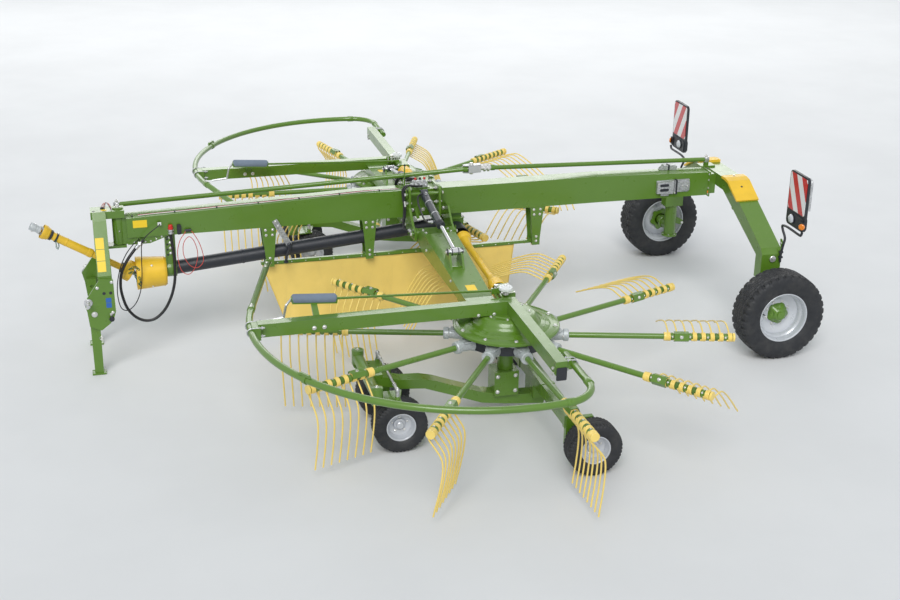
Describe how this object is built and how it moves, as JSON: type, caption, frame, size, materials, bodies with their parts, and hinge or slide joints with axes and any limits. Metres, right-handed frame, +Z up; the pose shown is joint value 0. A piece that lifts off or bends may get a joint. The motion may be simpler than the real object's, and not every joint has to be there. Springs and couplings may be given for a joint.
{
  "type": "twin rotor hay rake",
  "caption": "Towed hay rake with two tined rotors on lifting side arms that lay the swath in the middle, on a steered rear axle.",
  "frame": {"origin": "on the ground, midway along and across the machine", "axes": "+X forward towards the hitch, +Y to the machine left, +Z up"},
  "size_m": [6.3855, 7.1405, 1.566],
  "materials": {
    "green_paint": "gloss",
    "dark_green_paint": "satin",
    "black_plastic": "satin",
    "yellow_plastic": "satin",
    "yellow_wire": "satin",
    "curtain_sheet": "matt",
    "zinc_steel": "satin",
    "board_paint": "satin",
    "hose_rubber": "matt",
    "cable_sheath": "satin",
    "rope_fibre": "matt",
    "rim_silver": "satin",
    "tyre_rubber": "matt",
    "black_paint": "satin",
    "rod_chrome": "polished",
    "hub_iron": "matt"
  },
  "bodies": {
    "frame": {"main_beam": "green_paint", "centre_frame": "green_paint", "gearbox": "dark_green_paint", "drive_covers": "black_plastic", "yellow_guards": "yellow_plastic", "rear_arch": "green_paint", "wheel_chocks": "zinc_steel", "curtain_frame": "green_paint", "curtain": "curtain_sheet", "warning_boards": "board_paint", "hydraulic_hose": "hose_rubber", "cable": "cable_sheath", "red_rope": "rope_fibre"},
    "headstock": {"headstock": "green_paint", "pto_shaft": "yellow_plastic"},
    "steering_rod": {"steering_rod": "green_paint"},
    "stand_left": {"stand_leg_left": "green_paint"},
    "knuckle_left": {"knuckle_left": "green_paint"},
    "rear_wheel_left": {"rear_rim_left": "rim_silver", "rear_tyre_left": "tyre_rubber"},
    "boom_left": {"boom_left": "green_paint", "rotor_housing_left": "green_paint", "guard_left": "green_paint", "chassis_left": "green_paint"},
    "rotor_left": {"rotor_hub_left": "hub_iron", "rotor_arms_left": "green_paint", "tines_left": "yellow_wire"},
    "ram_barrel_left": {"ram_barrel_left": "black_paint"},
    "ram_rod_left": {"ram_rod_left": "rod_chrome"},
    "drive_shaft_left": {"drive_shaft_left": "yellow_plastic"},
    "tie_rod_left": {"tie_rod_left": "zinc_steel"},
    "caster_out_left": {"caster_out_left": "green_paint"},
    "caster_in_left": {"caster_in_left": "green_paint"},
    "front_wheel_out_left": {"front_wheel_out_left": "tyre_rubber"},
    "front_wheel_in_left": {"front_wheel_in_left": "tyre_rubber"},
    "back_wheel_out_left": {"back_wheel_out_left": "tyre_rubber"},
    "back_wheel_in_left": {"back_wheel_in_left": "tyre_rubber"},
    "stand_right": {"stand_leg_right": "green_paint"},
    "knuckle_right": {"knuckle_right": "green_paint"},
    "rear_wheel_right": {"rear_rim_right": "rim_silver", "rear_tyre_right": "tyre_rubber"},
    "boom_right": {"boom_right": "green_paint", "rotor_housing_right": "green_paint", "guard_right": "green_paint", "chassis_right": "green_paint"},
    "rotor_right": {"rotor_hub_right": "hub_iron", "rotor_arms_right": "green_paint", "tines_right": "yellow_wire"},
    "ram_barrel_right": {"ram_barrel_right": "black_paint"},
    "ram_rod_right": {"ram_rod_right": "rod_chrome"},
    "drive_shaft_right": {"drive_shaft_right": "yellow_plastic"},
    "tie_rod_right": {"tie_rod_right": "zinc_steel"},
    "caster_out_right": {"caster_out_right": "green_paint"},
    "caster_in_right": {"caster_in_right": "green_paint"},
    "front_wheel_out_right": {"front_wheel_out_right": "tyre_rubber"},
    "front_wheel_in_right": {"front_wheel_in_right": "tyre_rubber"},
    "back_wheel_out_right": {"back_wheel_out_right": "tyre_rubber"},
    "back_wheel_in_right": {"back_wheel_in_right": "tyre_rubber"}
  },
  "joints": [
    {"name": "headstock_swivel", "type": "hinge", "parent": "frame", "child": "headstock", "pos_m": [2.4995, 0, 1.1], "axis": [0, 0, 1], "range_deg": [-25, 25]},
    {"name": "steering_slide", "type": "slide", "parent": "frame", "child": "steering_rod", "axis": [1, 0, 0], "range_m": [-0.066, 0.066]},
    {"name": "stand_fold_left", "type": "hinge", "parent": "headstock", "child": "stand_left", "pos_m": [2.7535, 0.304, 0.534], "axis": [0, 1, 0], "range_deg": [0, 75]},
    {"name": "rear_steer_left", "type": "hinge", "parent": "frame", "child": "knuckle_left", "pos_m": [-2.8155, 1.01, 0.5], "axis": [0, 0, 1], "range_deg": [-13, 13]},
    {"name": "rear_spin_left", "type": "hinge", "parent": "knuckle_left", "child": "rear_wheel_left", "pos_m": [-2.8085, 1.268, 0.376], "axis": [0, 1, 0], "continuous": true},
    {"name": "boom_lift_left", "type": "hinge", "parent": "frame", "child": "boom_left", "pos_m": [-0.0455, 0.34, 1], "axis": [1, 0, 0], "range_deg": [0, 70]},
    {"name": "ram_swing_left", "type": "hinge", "parent": "frame", "child": "ram_barrel_left", "pos_m": [-0.0105, 0.14, 1.28], "axis": [1, 0, 0], "range_deg": [0, 65]},
    {"name": "ram_stroke_left", "type": "slide", "parent": "ram_barrel_left", "child": "ram_rod_left", "axis": [0, 0.9872, -0.1595], "range_m": [-0.39, 0]},
    {"name": "drive_swing_left", "type": "hinge", "parent": "frame", "child": "drive_shaft_left", "pos_m": [-0.3055, 0.345, 0.925], "axis": [1, 0, 0], "range_deg": [0, 70]},
    {"name": "rotor_spin_left", "type": "hinge", "parent": "boom_left", "child": "rotor_left", "pos_m": [-0.2155, 1.854, 0.706], "axis": [0, 0, 1], "continuous": true},
    {"name": "caster_out_left", "type": "hinge", "parent": "boom_left", "child": "caster_out_left", "pos_m": [0.8525, 2.189, 0.47], "axis": [0, 0, 1], "range_deg": [-20, 20]},
    {"name": "caster_in_left", "type": "hinge", "parent": "boom_left", "child": "caster_in_left", "pos_m": [0.8525, 1.519, 0.47], "axis": [0, 0, 1], "range_deg": [-20, 20]},
    {"name": "tie_rod_slide_left", "type": "slide", "parent": "boom_left", "child": "tie_rod_left", "axis": [0, 1, 0], "range_m": [-0.054, 0.054]},
    {"name": "front_wheel_out_spin_left", "type": "hinge", "parent": "caster_out_left", "child": "front_wheel_out_left", "pos_m": [0.6735, 2.137, 0.203], "axis": [0, 1, 0], "continuous": true},
    {"name": "front_wheel_in_spin_left", "type": "hinge", "parent": "caster_in_left", "child": "front_wheel_in_left", "pos_m": [0.6735, 1.571, 0.203], "axis": [0, 1, 0], "continuous": true},
    {"name": "back_wheel_out_spin_left", "type": "hinge", "parent": "boom_left", "child": "back_wheel_out_left", "pos_m": [-0.5815, 2.802, 0.203], "axis": [0, 1, 0], "continuous": true},
    {"name": "back_wheel_in_spin_left", "type": "hinge", "parent": "boom_left", "child": "back_wheel_in_left", "pos_m": [-0.5815, 0.906, 0.203], "axis": [0, 1, 0], "continuous": true},
    {"name": "stand_fold_right", "type": "hinge", "parent": "headstock", "child": "stand_right", "pos_m": [2.7535, -0.304, 0.534], "axis": [0, 1, 0], "range_deg": [0, 75]},
    {"name": "rear_steer_right", "type": "hinge", "parent": "frame", "child": "knuckle_right", "pos_m": [-2.8155, -1.01, 0.5], "axis": [0, 0, 1], "range_deg": [-13, 13]},
    {"name": "rear_spin_right", "type": "hinge", "parent": "knuckle_right", "child": "rear_wheel_right", "pos_m": [-2.8085, -1.268, 0.376], "axis": [0, 1, 0], "continuous": true},
    {"name": "boom_lift_right", "type": "hinge", "parent": "frame", "child": "boom_right", "pos_m": [-0.0455, -0.34, 1], "axis": [-1, 0, 0], "range_deg": [0, 70]},
    {"name": "ram_swing_right", "type": "hinge", "parent": "frame", "child": "ram_barrel_right", "pos_m": [-0.0105, -0.14, 1.28], "axis": [-1, 0, 0], "range_deg": [0, 65]},
    {"name": "ram_stroke_right", "type": "slide", "parent": "ram_barrel_right", "child": "ram_rod_right", "axis": [0, -0.9872, -0.1595], "range_m": [-0.39, 0]},
    {"name": "drive_swing_right", "type": "hinge", "parent": "frame", "child": "drive_shaft_right", "pos_m": [-0.3055, -0.345, 0.925], "axis": [-1, 0, 0], "range_deg": [0, 70]},
    {"name": "rotor_spin_right", "type": "hinge", "parent": "boom_right", "child": "rotor_right", "pos_m": [-0.2155, -1.854, 0.706], "axis": [0, 0, 1], "continuous": true},
    {"name": "caster_out_right", "type": "hinge", "parent": "boom_right", "child": "caster_out_right", "pos_m": [0.8525, -2.189, 0.47], "axis": [0, 0, 1], "range_deg": [-20, 20]},
    {"name": "caster_in_right", "type": "hinge", "parent": "boom_right", "child": "caster_in_right", "pos_m": [0.8525, -1.519, 0.47], "axis": [0, 0, 1], "range_deg": [-20, 20]},
    {"name": "tie_rod_slide_right", "type": "slide", "parent": "boom_right", "child": "tie_rod_right", "axis": [0, 1, 0], "range_m": [-0.054, 0.054]},
    {"name": "front_wheel_out_spin_right", "type": "hinge", "parent": "caster_out_right", "child": "front_wheel_out_right", "pos_m": [0.6735, -2.137, 0.203], "axis": [0, 1, 0], "continuous": true},
    {"name": "front_wheel_in_spin_right", "type": "hinge", "parent": "caster_in_right", "child": "front_wheel_in_right", "pos_m": [0.6735, -1.571, 0.203], "axis": [0, 1, 0], "continuous": true},
    {"name": "back_wheel_out_spin_right", "type": "hinge", "parent": "boom_right", "child": "back_wheel_out_right", "pos_m": [-0.5815, -2.802, 0.203], "axis": [0, 1, 0], "continuous": true},
    {"name": "back_wheel_in_spin_right", "type": "hinge", "parent": "boom_right", "child": "back_wheel_in_right", "pos_m": [-0.5815, -0.906, 0.203], "axis": [0, 1, 0], "continuous": true}
  ],
  "couplings": [
    {"joint": "steering_slide", "follows": "headstock_swivel", "m_per_rad": 0.15},
    {"joint": "rear_steer_left", "follows": "headstock_swivel", "ratio": -0.5},
    {"joint": "ram_swing_left", "follows": "boom_lift_left", "ratio": 0.9115},
    {"joint": "ram_stroke_left", "follows": "boom_lift_left", "m_per_rad": -0.3155},
    {"joint": "drive_swing_left", "follows": "boom_lift_left", "ratio": 0.977},
    {"joint": "caster_in_left", "follows": "caster_out_left", "ratio": 1},
    {"joint": "tie_rod_slide_left", "follows": "caster_out_left", "m_per_rad": -0.153},
    {"joint": "rear_steer_right", "follows": "headstock_swivel", "ratio": -0.5},
    {"joint": "ram_swing_right", "follows": "boom_lift_right", "ratio": 0.9115},
    {"joint": "ram_stroke_right", "follows": "boom_lift_right", "m_per_rad": -0.3155},
    {"joint": "drive_swing_right", "follows": "boom_lift_right", "ratio": 0.977},
    {"joint": "caster_in_right", "follows": "caster_out_right", "ratio": 1},
    {"joint": "tie_rod_slide_right", "follows": "caster_out_right", "m_per_rad": -0.153}
  ]
}
